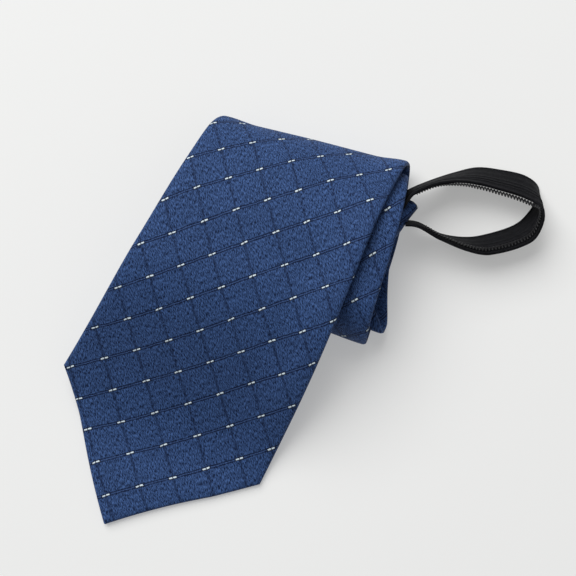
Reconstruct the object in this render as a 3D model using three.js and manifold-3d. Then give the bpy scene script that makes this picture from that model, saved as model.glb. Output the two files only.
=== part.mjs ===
// A zipper tie lying rolled up on a table: a padded blade that ends in a right-angled point, the
// ready-made knot at the middle of the roll, and the neckband, a loop of zip tape with its coil.
// Millimetres and degrees, +Z up. The point of the blade faces -Y, and the tie rests on z = 0.
import * as THREE from 'three';
import { mergeVertices } from 'three/addons/utils/BufferGeometryUtils.js';
import Module from 'manifold-3d';

// Driving sizes of the blade
const BLADE_WIDTH = 79;
const NECK_WIDTH = 42; // the strip just before it is gathered into the knot
const BLADE_THICKNESS = 2.6; // outer cloth, padding and the turned hems together
const BLADE_LENGTH = 375; // along the strip, from the point to the mouth of the knot
const POINT_LENGTH = 40; // from the point to the shoulders
const BLADE_FLARE = 1.12; // 1 widens evenly toward the shoulders, and more widens late
const GATHER_LENGTH = 13; // over which the strip is pleated down to the knot's mouth
const ROWS_ACROSS = 6; // facets across the strip

// Driving sizes of the roll
const ROLL_DEPTH = 66; // across the roll, from its upper turn to its lower turn
const ROLL_TURN = 15; // the roll's own direction, turned from the blade's square
const LAYER_GAP = 0.3; // between layers of cloth that touch
const FALL_LEAD = 14; // the outer layer starts to come down this far short of the lower turn
const FALL_RUN = 68; // and is on the table this much farther on
const LOWER_SKEW = 0.12; // how far the lower turns run off the upper ones, in a run of one
const SKEW_START = 0.6; // where that starts, as a share of ROLL_DEPTH

// Driving sizes of the knot
const KNOT_LENGTH = 34;
const KNOT_WIDTH = 40;
const KNOT_THICKNESS = 16;
const MOUTH_WIDTH = 22;
const MOUTH_THICKNESS = 9;
const KNOT_INSET = 14.5; // from the upper turn of the roll to the wide end of the knot
const KNOT_RIGHT = 67.2; // the knot's outer corner, along the roll
const KNOT_SIDES = 20;
const KNOT_ROUNDNESS = 0.6; // 1 gives round sections, and less gives squarer ones
const MOUTH_SHIFT = 3.2; // how far the mouth lies to the left of the wide end's middle
const SEAT_DEPTH = 3.5; // how deep the strip runs into the knot
const SEAT_GAP = 0.3; // clearance of what is let into the knot

// Driving sizes of the neckband
const TAPE_WIDTH = 12.5;
const TAPE_THICKNESS = 1.2;
const LOOP_REACH = 44; // from the knot's outer corner to the end of the loop
const LOOP_SPAN = 26.4; // across the loop at its feet
const LOOP_SHIFT = 8.2; // the middle of the loop, back from the wide end of the knot
const TAPE_STEPS = 84;
const END_STEP = 1 / TAPE_STEPS; // the tape stops this share short of the end of its seat
const FAR_SEAT = 0.13; // the share of the tape that is let into the knot's end
const NEAR_SEAT = 0.08; // and into its side
const FALL_DRIFT = 0.12; // the fall's run along the roll, beside one across it

// Driving sizes of the coil
const TOOTH_PITCH = 1.1;
const TOOTH_LENGTH = 2.2; // across the tape
const TOOTH_PROUD = 0.8; // how far the teeth stand over the tape's edge
const COIL_THICKNESS = 1.0;
const TOOTH_SHARE = 0.55; // of the pitch
const COIL_SEAT = 0.35; // between the coil and the tape
const COIL_CORE = 0.55; // the coil between two teeth, as a share of a tooth's length
const TOOTH_DRAFT = 0.08; // the slope of a tooth's flank, as a share of the pitch
const COIL_START = 0.1; // where the coil starts and ends, as shares of the neckband
const COIL_END = 0.93;

// Fineness of the mesh
const EDGE_STEP = 2; // along the strip's edges
const MIN_STEP = 0.4; // the least run between two rings of the strip
const FALL_STEPS = 10;
const TIP_BLUNT = 0.5; // the point stops this short
const MERGE = 1e-4;

// The four turns of the roll, from the knot outward. edge is where the middle of the cloth turns
// back and upper and lower are how far the two quarters of the turn reach in, as shares of
// ROLL_DEPTH. nose is the height of the outermost point, as a share of the roll's height, and steps
// is the number of facets in each quarter.
const TURNS = [
  { name: 'inner_lower', edge: 0.886, upper: 0.1, lower: 0.1, nose: 0.265, steps: 4 },
  { name: 'inner_upper', edge: 0.079, upper: 0.55, lower: 0.068, nose: 0.25, steps: 9 },
  { name: 'outer_lower', edge: 0.976, upper: 0.197, lower: 0.121, nose: 0.345, steps: 6 },
  { name: 'outer_upper', edge: 0.024, upper: 0.582, lower: 0.091, nose: 0.236, steps: 9 },
];

// The lean of the strip from the roll's square at each stretch, going outward from the knot.
const LEANS = [
  { at: 'mouth', lean: -13.5 },
  { at: 'inner_lower', lean: 9 },
  { at: 'inner_base', lean: 10.5 },
  { at: 'inner_upper', lean: -2.5 },
  { at: 'inner_top', lean: 7.5 },
  { at: 'outer_lower', lean: 1 },
  { at: 'outer_base', lean: 0 },
  { at: 'outer_upper', lean: 15 },
  { at: 'outer_top', lean: 12.3 },
  { at: 'fall', lean: 12.2 },
  { at: 'landing', lean: 17.5 },
  { at: 'point', lean: 11 },
];

// Sections of the knot from its wide end to its mouth. along, width and height are shares of
// KNOT_LENGTH, KNOT_WIDTH and KNOT_THICKNESS, and centre is the share of the way from the middle
// of the wide end to the middle of the mouth.
const KNOT_SECTIONS = [
  { along: 0.0, width: 0.9, height: 0.53, centre: 0.0 },
  { along: 0.035, width: 1.0, height: 0.56, centre: 0.0 },
  { along: 0.16, width: 0.935, height: 0.745, centre: 0.16 },
  { along: 0.34, width: 0.855, height: 0.86, centre: 0.34 },
  { along: 0.52, width: 0.765, height: 0.93, centre: 0.52 },
  { along: 0.7, width: 0.68, height: 1.0, centre: 0.7 },
  { along: 0.88, width: 0.6, height: 0.8, centre: 0.88 },
  { along: 1.0, width: 0.55, height: 0.5625, centre: 1.0 },
];

// The neckband's lower edge, from where it leaves the knot's end, out round the loop and back into
// the knot's side. reach is a share of LOOP_REACH from the knot's corner and side a share of half
// of LOOP_SPAN from the loop's middle. lift is the height of that edge as a share of the height at
// which the knot sits, and fall is how far the tape leans over to the lower side, as a share of
// TAPE_WIDTH.
const BAND = [
  { name: 'knot_end', reach: -0.25, side: 0.67, lift: 1.04, fall: 0.85 },
  { name: 'under_cloth', reach: -0.14, side: 0.35, lift: 1.04, fall: 0.82 },
  { name: 'leaves_roll', reach: -0.07, side: 0.13, lift: 0.95, fall: 0.63 },
  { name: 'edge_on', reach: 0.068, side: -0.25, lift: 0.5, fall: 0.33 },
  { name: 'turns_over', reach: 0.225, side: -0.615, lift: 0.14, fall: 0.44 },
  { name: 'far_shoulder', reach: 0.385, side: -0.9, lift: 0.04, fall: 0.63 },
  { name: 'far_side', reach: 0.55, side: -0.985, lift: 0.04, fall: 0.71 },
  { name: 'far_bend', reach: 0.775, side: -0.985, lift: 0.04, fall: 0.77 },
  { name: 'end_top', reach: 0.88, side: -0.8, lift: 0.04, fall: 0.74 },
  { name: 'end', reach: 0.905, side: -0.45, lift: 0.04, fall: 0.68 },
  { name: 'end_low', reach: 0.855, side: 0.0, lift: 0.04, fall: 0.62 },
  { name: 'near_bend', reach: 0.78, side: 0.34, lift: 0.04, fall: 0.54 },
  { name: 'near_side', reach: 0.585, side: 0.79, lift: 0.04, fall: 0.52 },
  { name: 'near_shoulder', reach: 0.44, side: 0.975, lift: 0.06, fall: 0.385 },
  { name: 'near_slope', reach: 0.23, side: 0.99, lift: 0.3, fall: 0.28 },
  { name: 'meets_knot', reach: 0.02, side: 0.985, lift: 0.98, fall: 0.27 },
  { name: 'knot_side', reach: -0.1, side: 1.06, lift: 1.05, fall: 0.28 },
];

const HALF = 0.5;
const QUARTER = Math.PI / 2;
const SHOULDER = BLADE_LENGTH - POINT_LENGTH;
const FALL_START = ROLL_DEPTH - FALL_LEAD;
const FALL_END = FALL_START + FALL_RUN;
const OUTER_BASE = BLADE_THICKNESS / 2;
const INNER_BASE = OUTER_BASE + BLADE_THICKNESS + LAYER_GAP;
const KNOT_BASE = INNER_BASE + BLADE_THICKNESS / 2 + LAYER_GAP;
const INNER_TOP = KNOT_BASE + KNOT_THICKNESS + LAYER_GAP + BLADE_THICKNESS / 2;
const OUTER_TOP = INNER_TOP + BLADE_THICKNESS + LAYER_GAP;
const ROLL_HEIGHT = OUTER_TOP + BLADE_THICKNESS / 2;
const MOUTH_HEIGHT = KNOT_BASE + MOUTH_THICKNESS / 2;
const KNOT_MOUTH = KNOT_INSET + KNOT_LENGTH;
const KNOT_CENTRE = KNOT_RIGHT - KNOT_WIDTH / 2;
const MOUTH_CENTRE = KNOT_CENTRE - MOUTH_SHIFT;
const LOOP_CENTRE = KNOT_INSET - LOOP_SHIFT;

const colours = {
  blade: { color: 0x2c3f66, roughness: 0.72, metalness: 0 },
  knot: { color: 0x24365c, roughness: 0.72, metalness: 0 },
  tape: { color: 0x1b1c1f, roughness: 0.85, metalness: 0 },
  coil: { color: 0x141518, roughness: 0.45, metalness: 0 },
};

function mix(a, b, share) {
  return a + (b - a) * share;
}

function smooth(share) {
  const t = Math.min(1, Math.max(0, share));
  return t * t * (3 - 2 * t);
}

function turn(name) {
  const row = TURNS.find((one) => one.name === name);
  return {
    edge: row.edge * ROLL_DEPTH,
    upper: row.upper * ROLL_DEPTH,
    lower: row.lower * ROLL_DEPTH,
    nose: row.nose * ROLL_HEIGHT,
    steps: row.steps,
  };
}

// Two quarters of an ellipse, from the level `from` round the outermost point to the level `to`.
// side is 1 for a turn that bulges away from the upper side of the roll, and -1 for the other.
function turnPoints(name, side, from, to) {
  const { edge, upper, lower, nose, steps } = turn(name);
  const points = [];
  for (const part of [0, 1]) {
    const level = part === 0 ? from : to;
    const reach = level > nose ? upper : lower;
    for (let i = part; i <= steps; i += 1) {
      const angle = (part === 0 ? i / steps : 1 - i / steps) * QUARTER;
      points.push({
        v: edge - side * reach * (1 - Math.sin(angle)),
        z: nose + (level - nose) * Math.cos(angle),
        at: part === 0 && i === steps ? name : undefined,
      });
    }
  }
  return points;
}

// The middle of the cloth in a cut across the roll, from the knot's mouth to past the point.
function rollCourse() {
  const course = [{ v: KNOT_MOUTH - SEAT_DEPTH, z: MOUTH_HEIGHT }];
  course.push({ v: KNOT_MOUTH, z: MOUTH_HEIGHT, at: 'mouth' });
  course.push(...turnPoints('inner_lower', 1, MOUTH_HEIGHT, INNER_BASE));
  course.push({ v: ROLL_DEPTH * HALF, z: INNER_BASE, at: 'inner_base' });
  course.push(...turnPoints('inner_upper', -1, INNER_BASE, INNER_TOP));
  course[course.length - 1].at = 'inner_top';
  course.push(...turnPoints('outer_lower', 1, INNER_TOP, OUTER_BASE));
  course.push({ v: ROLL_DEPTH * HALF, z: OUTER_BASE, at: 'outer_base' });
  course.push(...turnPoints('outer_upper', -1, OUTER_BASE, OUTER_TOP));
  course[course.length - 1].at = 'outer_top';
  for (let i = 0; i <= FALL_STEPS; i += 1) {
    const share = i / FALL_STEPS;
    const at = i === 0 ? 'fall' : undefined;
    course.push({
      v: mix(FALL_START, FALL_END, share),
      z: mix(OUTER_TOP, OUTER_BASE, smooth(share)),
      at: i === FALL_STEPS ? 'landing' : at,
    });
  }
  course.push({ v: FALL_END + BLADE_LENGTH, z: OUTER_BASE });
  let run = 0;
  course.forEach((point, i) => {
    if (i > 0) run += Math.hypot(point.v - course[i - 1].v, point.z - course[i - 1].z);
    point.run = run;
  });
  const mouthRun = course.find((point) => point.at === 'mouth').run;
  course.forEach((point) => {
    point.run -= mouthRun;
  });
  return course;
}

const course = rollCourse();

function runOf(name) {
  if (name === 'point') return Math.max(runOf('landing') + EDGE_STEP, BLADE_LENGTH);
  return course.find((point) => point.at === name).run;
}

const leanRows = LEANS.map((row) => ({
  run: runOf(row.at),
  lean: THREE.MathUtils.degToRad(row.lean),
}));

function leanAt(run) {
  const next = leanRows.findIndex((row) => row.run >= run);
  if (next === 0) return leanRows[0].lean;
  if (next === -1) return leanRows[leanRows.length - 1].lean;
  const before = leanRows[next - 1];
  const after = leanRows[next];
  return mix(before.lean, after.lean, (run - before.run) / (after.run - before.run));
}

// Width of the strip, at a distance along it from the knot's mouth.
function stripWidth(along) {
  if (along <= GATHER_LENGTH) return mix(MOUTH_WIDTH, NECK_WIDTH, smooth(along / GATHER_LENGTH));
  if (along <= SHOULDER) {
    const share = (along - GATHER_LENGTH) / (SHOULDER - GATHER_LENGTH);
    return mix(NECK_WIDTH, BLADE_WIDTH, share ** BLADE_FLARE);
  }
  return (BLADE_WIDTH * (BLADE_LENGTH - along)) / POINT_LENGTH;
}

// The two edges of the strip, laid out flat: how far along the roll each lies (q) for its run
// round the roll. side is -1 for the left edge and 1 for the right one.
function stripEdge(side, widen) {
  const back = SEAT_DEPTH + GATHER_LENGTH;
  const edge = [];
  let along = -back;
  let q = MOUTH_CENTRE + back * Math.tan(leanAt(0));
  let run = -back;
  while (edge.length === 0 || along < BLADE_LENGTH) {
    const next = along < SHOULDER ? SHOULDER : BLADE_LENGTH;
    const stride = edge.length === 0 ? 0 : Math.min(EDGE_STEP, next - along);
    along += stride;
    q -= stride * Math.sin(leanAt(run));
    run += stride * Math.cos(leanAt(run));
    const lean = leanAt(run);
    const half = (side * (stripWidth(along) + widen)) / 2;
    edge.push({ q: q + half * Math.cos(lean), run: run + half * Math.sin(lean), along });
  }
  return edge;
}

function edgeAt(edge, run) {
  const i = Math.max(1, edge.findIndex((point) => point.run >= run));
  const a = edge[i - 1];
  const b = edge[i];
  return mix(a.q, b.q, (run - a.run) / (b.run - a.run));
}

// A point of the roll in the tie's own axes. offset is measured from the middle of the cloth,
// toward its face.
function onRoll(q, run, offset) {
  const i = Math.max(1, course.findIndex((point) => point.run >= run));
  const a = course[i - 1];
  const b = course[i];
  const share = (run - a.run) / (b.run - a.run);
  const normalAt = (index) => {
    const before = course[Math.max(0, index - 1)];
    const here = course[index];
    const after = course[Math.min(course.length - 1, index + 1)];
    const first = new THREE.Vector2(here.v - before.v, here.z - before.z).normalize();
    const second = new THREE.Vector2(after.v - here.v, after.z - here.z).normalize();
    const middle = first.add(second).normalize();
    return new THREE.Vector2(-middle.y, middle.x);
  };
  const normal = normalAt(i - 1).lerp(normalAt(i), share).normalize();
  const v = mix(a.v, b.v, share) + offset * normal.x;
  const z = mix(a.z, b.z, share) + offset * normal.y;
  return rollPoint(q, v + skew(q, v, run), z);
}

// The lower turns run a little off the upper ones, which the outer layer doesn't follow.
function skew(q, v, run) {
  if (run > runOf('outer_upper')) return 0;
  const share = smooth((v / ROLL_DEPTH - SKEW_START) / (1 - SKEW_START));
  return LOWER_SKEW * (q - KNOT_RIGHT) * share * smooth(run / runOf('inner_lower'));
}

// From the roll's axes (q along it, v away from its upper side) to the tie's.
function rollPoint(q, v, z) {
  const angle = THREE.MathUtils.degToRad(ROLL_TURN);
  return new THREE.Vector3(
    q * Math.cos(angle) + v * Math.sin(angle),
    q * Math.sin(angle) - v * Math.cos(angle),
    z,
  );
}

// A closed body from rings of points that run the same way round, with a flat fan at each end.
function loft(rings) {
  const positions = [];
  const faces = [];
  const count = rings[0].length;
  rings.forEach((ring) => ring.forEach((point) => positions.push(point.x, point.y, point.z)));
  for (let r = 0; r < rings.length - 1; r += 1) {
    for (let i = 0; i < count; i += 1) {
      const a = r * count + i;
      const b = r * count + ((i + 1) % count);
      faces.push(a, b, b + count, a, b + count, a + count);
    }
  }
  const last = (rings.length - 1) * count;
  for (let i = 1; i < count - 1; i += 1) {
    faces.push(0, i + 1, i, last, last + i, last + i + 1);
  }
  const geometry = new THREE.BufferGeometry();
  geometry.setAttribute('position', new THREE.Float32BufferAttribute(positions, 3));
  geometry.setIndex(faces);
  return geometry;
}

// The strip between two runs, thicker and wider than the cloth by a clearance.
function stripBody(fromRun, clearance, toRun) {
  const left = stripEdge(-1, 2 * clearance);
  const right = stripEdge(1, 2 * clearance);
  const tip = left[left.length - 1].run - TIP_BLUNT;
  const end = Math.min(toRun, tip);
  const shoulders = [left, right].map((edge) => edge.find((one) => one.along === SHOULDER).run);
  const runs = [...course.map((point) => point.run), ...shoulders]
    .filter((run) => run > fromRun + MIN_STEP && run < end - MIN_STEP)
    .sort((a, b) => a - b)
    .filter((run, i, all) => i === 0 || run - all[i - 1] > MIN_STEP);
  const half = BLADE_THICKNESS / 2 + clearance;
  const rings = [fromRun, ...runs, end].map((run) => {
    const ring = [];
    const from = edgeAt(left, run);
    const to = edgeAt(right, run);
    for (let i = 0; i <= ROWS_ACROSS; i += 1) {
      ring.push(onRoll(mix(from, to, i / ROWS_ACROSS), run, -half));
    }
    for (let i = ROWS_ACROSS; i >= 0; i -= 1) {
      ring.push(onRoll(mix(from, to, i / ROWS_ACROSS), run, half));
    }
    return ring;
  });
  return loft(rings);
}

// One section of the knot, a rounded rectangle that lies flat on the roll's lower layers.
function knotRing(row) {
  const width = row.width * KNOT_WIDTH;
  const height = row.height * KNOT_THICKNESS;
  const middle = mix(KNOT_CENTRE, MOUTH_CENTRE, row.centre);
  const ring = [];
  for (let i = 0; i < KNOT_SIDES; i += 1) {
    const angle = ((i + HALF) / KNOT_SIDES) * 2 * Math.PI;
    const across = Math.sign(Math.cos(angle)) * Math.abs(Math.cos(angle)) ** KNOT_ROUNDNESS;
    const up = Math.sign(Math.sin(angle)) * Math.abs(Math.sin(angle)) ** KNOT_ROUNDNESS;
    const q = middle + (across * width) / 2;
    const z = KNOT_BASE + ((1 + up) * height) / 2;
    ring.push(rollPoint(q, KNOT_INSET + row.along * KNOT_LENGTH, z));
  }
  return ring;
}

// The neckband's lower edge and its upper one, with the tape's outward direction, at each step.
function bandCourse() {
  const route = new THREE.CatmullRomCurve3(
    BAND.map((row) => rollPoint(
      KNOT_RIGHT + row.reach * LOOP_REACH,
      LOOP_CENTRE + (row.side * LOOP_SPAN) / 2,
      row.lift * KNOT_BASE,
    )),
  );
  const leaning = new THREE.CatmullRomCurve3(
    BAND.map((row, i) => new THREE.Vector3(row.fall * TAPE_WIDTH, i, 0)),
  );
  const drift = rollPoint(FALL_DRIFT, 1, 0).normalize();
  const steps = [];
  for (let i = 0; i <= TAPE_STEPS; i += 1) {
    const share = route.getUtoTmapping(i / TAPE_STEPS);
    const foot = route.getPoint(share);
    const ahead = route.getTangent(share);
    const flat = new THREE.Vector3(ahead.x, ahead.y, 0).normalize();
    const fall = leaning.getPoint(share).x;
    const square = fall * Math.abs(flat.x * drift.y - flat.y * drift.x);
    const up = drift.clone().multiplyScalar(fall);
    up.z = Math.sqrt(TAPE_WIDTH ** 2 - square ** 2);
    const outward = new THREE.Vector3().crossVectors(up, ahead).normalize();
    foot.z += (Math.abs(outward.z) * TAPE_THICKNESS) / 2;
    steps.push({ foot, up, outward, length: route.getLength() });
  }
  return steps;
}

const band = bandCourse();

// A point of the neckband: share of the way round, share of the tape's width, and how far out.
function onBand(share, across, out) {
  const place = share * TAPE_STEPS;
  const i = Math.min(TAPE_STEPS - 1, Math.floor(place));
  const part = place - i;
  const foot = band[i].foot.clone().lerp(band[i + 1].foot, part);
  const up = band[i].up.clone().lerp(band[i + 1].up, part);
  const outward = band[i].outward.clone().lerp(band[i + 1].outward, part).normalize();
  return foot.addScaledVector(up, across).addScaledVector(outward, out);
}

function tapeBody(from, to, clearance) {
  const half = TAPE_THICKNESS / 2 + clearance;
  const wide = clearance / TAPE_WIDTH;
  const rings = [];
  for (let i = Math.round(from * TAPE_STEPS); i <= Math.round(to * TAPE_STEPS); i += 1) {
    const share = i / TAPE_STEPS;
    rings.push([
      onBand(share, -wide, half),
      onBand(share, 1 + wide, half),
      onBand(share, 1 + wide, -half),
      onBand(share, -wide, -half),
    ]);
  }
  return loft(rings);
}

// The coil along the tape's upper edge, on its outer face: a comb of teeth on a thin core.
function coilBody() {
  const length = band[0].length;
  const teeth = Math.round(((COIL_END - COIL_START) * length) / TOOTH_PITCH);
  const inner = TAPE_THICKNESS / 2 + COIL_SEAT;
  const root = 1 - (TOOTH_LENGTH - TOOTH_PROUD) / TAPE_WIDTH;
  const rings = [];
  const slice = (share, reach) => {
    const tip = root + (reach * TOOTH_LENGTH) / TAPE_WIDTH;
    rings.push([
      onBand(share, root, inner + COIL_THICKNESS),
      onBand(share, tip, inner + COIL_THICKNESS),
      onBand(share, tip, inner),
      onBand(share, root, inner),
    ]);
  };
  for (let i = 0; i < teeth; i += 1) {
    const at = (part) => mix(COIL_START, COIL_END, (i + part) / teeth);
    slice(at(0), 1);
    slice(at(TOOTH_SHARE), 1);
    slice(at(TOOTH_SHARE + TOOTH_DRAFT), COIL_CORE);
    slice(at(1 - TOOTH_DRAFT), COIL_CORE);
  }
  slice(COIL_END, 1);
  return loft(rings);
}

const wasm = await Module();
wasm.setup();

function toSolid(geometry) {
  const merged = mergeVertices(geometry, MERGE);
  return new wasm.Manifold(new wasm.Mesh({
    numProp: 3,
    vertProperties: new Float32Array(merged.attributes.position.array),
    triVerts: new Uint32Array(merged.index.array),
  }));
}

function toGeometry(solid) {
  const mesh = solid.getMesh();
  const geometry = new THREE.BufferGeometry();
  geometry.setAttribute('position', new THREE.BufferAttribute(mesh.vertProperties, 3));
  geometry.setIndex(new THREE.BufferAttribute(mesh.triVerts, 1));
  return geometry;
}

// The knot, with the seats that the strip and the two ends of the neckband are let into.
function knotBody() {
  const seats = [
    stripBody(-SEAT_DEPTH - SEAT_GAP, SEAT_GAP, SEAT_DEPTH),
    tapeBody(0, FAR_SEAT, SEAT_GAP),
    tapeBody(1 - NEAR_SEAT, 1, SEAT_GAP),
  ];
  let solid = toSolid(loft(KNOT_SECTIONS.map(knotRing)));
  for (const seat of seats) {
    solid = solid.subtract(toSolid(seat));
  }
  return toGeometry(solid);
}

function piece(name, geometry, look) {
  const mesh = new THREE.Mesh(geometry, new THREE.MeshStandardMaterial(look));
  mesh.name = name;
  return mesh;
}

const tie = new THREE.Group();
tie.add(piece('blade', stripBody(-SEAT_DEPTH, 0, Infinity), colours.blade));
tie.add(piece('knot', knotBody(), colours.knot));
tie.add(piece('zip_tape', tapeBody(END_STEP, 1 - END_STEP, 0), colours.tape));
tie.add(piece('zip_coil', coilBody(), colours.coil));

// The origin is under the middle of the tie, on the table.
const box = new THREE.Box3().setFromObject(tie);
const middle = box.getCenter(new THREE.Vector3());
tie.position.set(-middle.x, -middle.y, -box.min.z);

export default tie;
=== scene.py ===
"""A zipper tie, rolled up round its knot on a pale table, with its zip-tape neckband."""

import math

import bpy
import numpy as np
from mathutils import Matrix, Vector


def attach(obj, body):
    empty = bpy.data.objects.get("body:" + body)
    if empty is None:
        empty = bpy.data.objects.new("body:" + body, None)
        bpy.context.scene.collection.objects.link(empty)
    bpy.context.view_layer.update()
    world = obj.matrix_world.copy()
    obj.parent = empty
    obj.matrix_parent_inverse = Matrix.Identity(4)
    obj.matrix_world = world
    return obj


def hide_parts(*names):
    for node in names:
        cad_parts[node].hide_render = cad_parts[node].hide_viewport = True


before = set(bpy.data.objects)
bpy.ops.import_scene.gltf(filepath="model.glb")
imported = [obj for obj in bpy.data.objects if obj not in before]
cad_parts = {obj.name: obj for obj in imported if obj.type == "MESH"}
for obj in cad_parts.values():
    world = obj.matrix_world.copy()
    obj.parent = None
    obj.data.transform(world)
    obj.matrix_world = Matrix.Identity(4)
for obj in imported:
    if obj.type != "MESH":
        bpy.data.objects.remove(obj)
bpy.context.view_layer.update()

MM = 0.001
# Sizes in millimetres, the same as the solids'
PLACE = (-48.538, 54.793)  # the roll's corner in the row frame
BLADE_WIDTH = 79.0
NECK_WIDTH = 42.0
BLADE_THICKNESS = 2.6
BLADE_LENGTH = 375.0
POINT_LENGTH = 40.0
BLADE_FLARE = 1.12
GATHER_LENGTH = 13.0
ROLL_DEPTH = 66.0
ROLL_TURN = math.radians(15.0)
LAYER_GAP = 0.3
FALL_LEAD = 14.0
FALL_RUN = 68.0
LOWER_SKEW = 0.12
SKEW_START = 0.6
KNOT_LENGTH = 34.0
KNOT_WIDTH = 40.0
KNOT_THICKNESS = 16.0
MOUTH_WIDTH = 22.0
MOUTH_THICKNESS = 9.0
KNOT_INSET = 14.5
KNOT_RIGHT = 67.2
MOUTH_SHIFT = 3.2
SEAT_DEPTH = 3.5
TAPE_WIDTH = 12.5
TAPE_THICKNESS = 1.2
LOOP_REACH = 44.0
LOOP_SPAN = 26.4
LOOP_SHIFT = 8.2
FALL_DRIFT = 0.12
TOOTH_PITCH = 1.1
TOOTH_LENGTH = 2.2
TOOTH_PROUD = 0.8
COIL_START = 0.1
COIL_END = 0.93
TAPE_STEPS = 84

SHOULDER = BLADE_LENGTH - POINT_LENGTH
HALF_CLOTH = BLADE_THICKNESS / 2
OUTER_BASE = HALF_CLOTH
INNER_BASE = OUTER_BASE + BLADE_THICKNESS + LAYER_GAP
KNOT_BASE = INNER_BASE + HALF_CLOTH + LAYER_GAP
INNER_TOP = KNOT_BASE + KNOT_THICKNESS + LAYER_GAP + HALF_CLOTH
OUTER_TOP = INNER_TOP + BLADE_THICKNESS + LAYER_GAP
ROLL_HEIGHT = OUTER_TOP + HALF_CLOTH
MOUTH_HEIGHT = KNOT_BASE + MOUTH_THICKNESS / 2
KNOT_MOUTH = KNOT_INSET + KNOT_LENGTH
KNOT_CENTRE = KNOT_RIGHT - KNOT_WIDTH / 2
MOUTH_CENTRE = KNOT_CENTRE - MOUTH_SHIFT
LOOP_CENTRE = KNOT_INSET - LOOP_SHIFT
FALL_START = ROLL_DEPTH - FALL_LEAD
FALL_END = FALL_START + FALL_RUN

# Turns of the roll: name, edge, upper and lower reach as shares of ROLL_DEPTH, nose of ROLL_HEIGHT
TURNS = {
    "inner_lower": (0.886, 0.1, 0.1, 0.265),
    "inner_upper": (0.079, 0.55, 0.068, 0.25),
    "outer_lower": (0.976, 0.197, 0.121, 0.345),
    "outer_upper": (0.024, 0.582, 0.091, 0.236),
}
# Lean of the strip from the roll's square at each stretch, in degrees
LEANS = (
    ("mouth", -13.5), ("inner_lower", 9.0), ("inner_base", 10.5), ("inner_upper", -2.5),
    ("inner_top", 7.5), ("outer_lower", 1.0), ("outer_base", 0.0), ("outer_upper", 15.0),
    ("outer_top", 12.3), ("fall", 12.2), ("landing", 17.5), ("point", 11.0),
)
# Sections of the knot: along, width, height and centre, as shares
KNOT_SECTIONS = (
    (0.0, 0.9, 0.53, 0.0), (0.035, 1.0, 0.56, 0.0), (0.16, 0.935, 0.745, 0.16),
    (0.34, 0.855, 0.86, 0.34), (0.52, 0.765, 0.93, 0.52), (0.7, 0.68, 1.0, 0.7),
    (0.88, 0.6, 0.8, 0.88), (1.0, 0.55, 0.5625, 1.0),
)
# The neckband's lower edge: reach, side, lift and fall, as shares. Near the solids' course, but
# with falls and ends of its own
BAND = (
    (-0.25, 0.67, 1.04, 0.85), (-0.14, 0.35, 1.04, 0.66), (-0.07, 0.13, 0.95, 0.36),
    (0.068, -0.25, 0.5, 0.33), (0.225, -0.615, 0.14, 0.44), (0.385, -0.9, 0.04, 0.63),
    (0.55, -0.985, 0.04, 0.71), (0.775, -0.985, 0.04, 0.77), (0.88, -0.8, 0.04, 0.74),
    (0.905, -0.45, 0.04, 0.72), (0.86, 0.0, 0.04, 0.8), (0.79, 0.34, 0.04, 0.74),
    (0.585, 0.79, 0.04, 0.68), (0.44, 1.0, 0.06, 0.5), (0.23, 1.1, 0.3, 0.3),
    (0.02, 1.0, 0.98, 0.27), (-0.1, 1.06, 1.05, 0.28),
)

# The check: a square lattice on the bias, pulled a little out of square as the tie was made.
# Each line: millimetres along the strip, row of the lattice there, middle of the lattice across
# the strip, its step across and the lean of its rows
CHECK_PITCH = 11.5
CHECK = (
    (-20.0, -39.5, 12.0, 7.6, 0.0), (89.0, -27.0, 12.0, 7.6, 0.0), (104.3, -25.0, 12.0, 7.6, 0.0),
    (138.9, -21.0, 12.0, 7.6, 0.0), (218.5, -12.0, 13.0, 7.5, 0.0), (232.3, -10.0, 13.2, 7.5, 0.01),
    (240.8, -9.0, 12.9, 7.5, 0.04), (256.7, -7.0, 12.7, 7.65, 0.05), (273.1, -5.0, 12.1, 7.6, 0.02),
    (288.7, -3.0, 12.0, 7.6, 0.0), (305.5, -1.0, 12.2, 7.8, -0.015), (323.2, 1.0, 12.5, 8.1, -0.02),
    (341.3, 3.0, 12.7, 8.4, -0.06), (357.7, 5.0, 13.1, 8.6, -0.05), (374.0, 7.0, 13.3, 8.7, -0.05),
)


def mix(a, b, share):
    return a + (b - a) * share


def smooth(share):
    t = np.clip(share, 0.0, 1.0)
    return t * t * (3 - 2 * t)


def bump_at(value, centre, width):
    return np.exp(-(((value - centre) / width) ** 2))


# The course of the cloth in a cut across the roll
QUARTER_STEPS = 28
FALL_STEPS = 48


def turn_points(name, side, start, end):
    """Half a turn of the roll, from one height to another, on its lower (1) or upper (-1) side."""
    edge, upper, lower = (share * ROLL_DEPTH for share in TURNS[name][:3])
    nose = TURNS[name][3] * ROLL_HEIGHT
    points = []
    for part, level in enumerate((start, end)):
        reach = upper if level > nose else lower
        for i in range(part, QUARTER_STEPS + 1):
            share = i / QUARTER_STEPS
            angle = (share if part == 0 else 1 - share) * math.pi / 2
            v = edge - side * reach * (1 - math.sin(angle))
            z = nose + (level - nose) * math.cos(angle)
            points.append((v, z, name if part == 0 and i == QUARTER_STEPS else ""))
    return points


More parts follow.
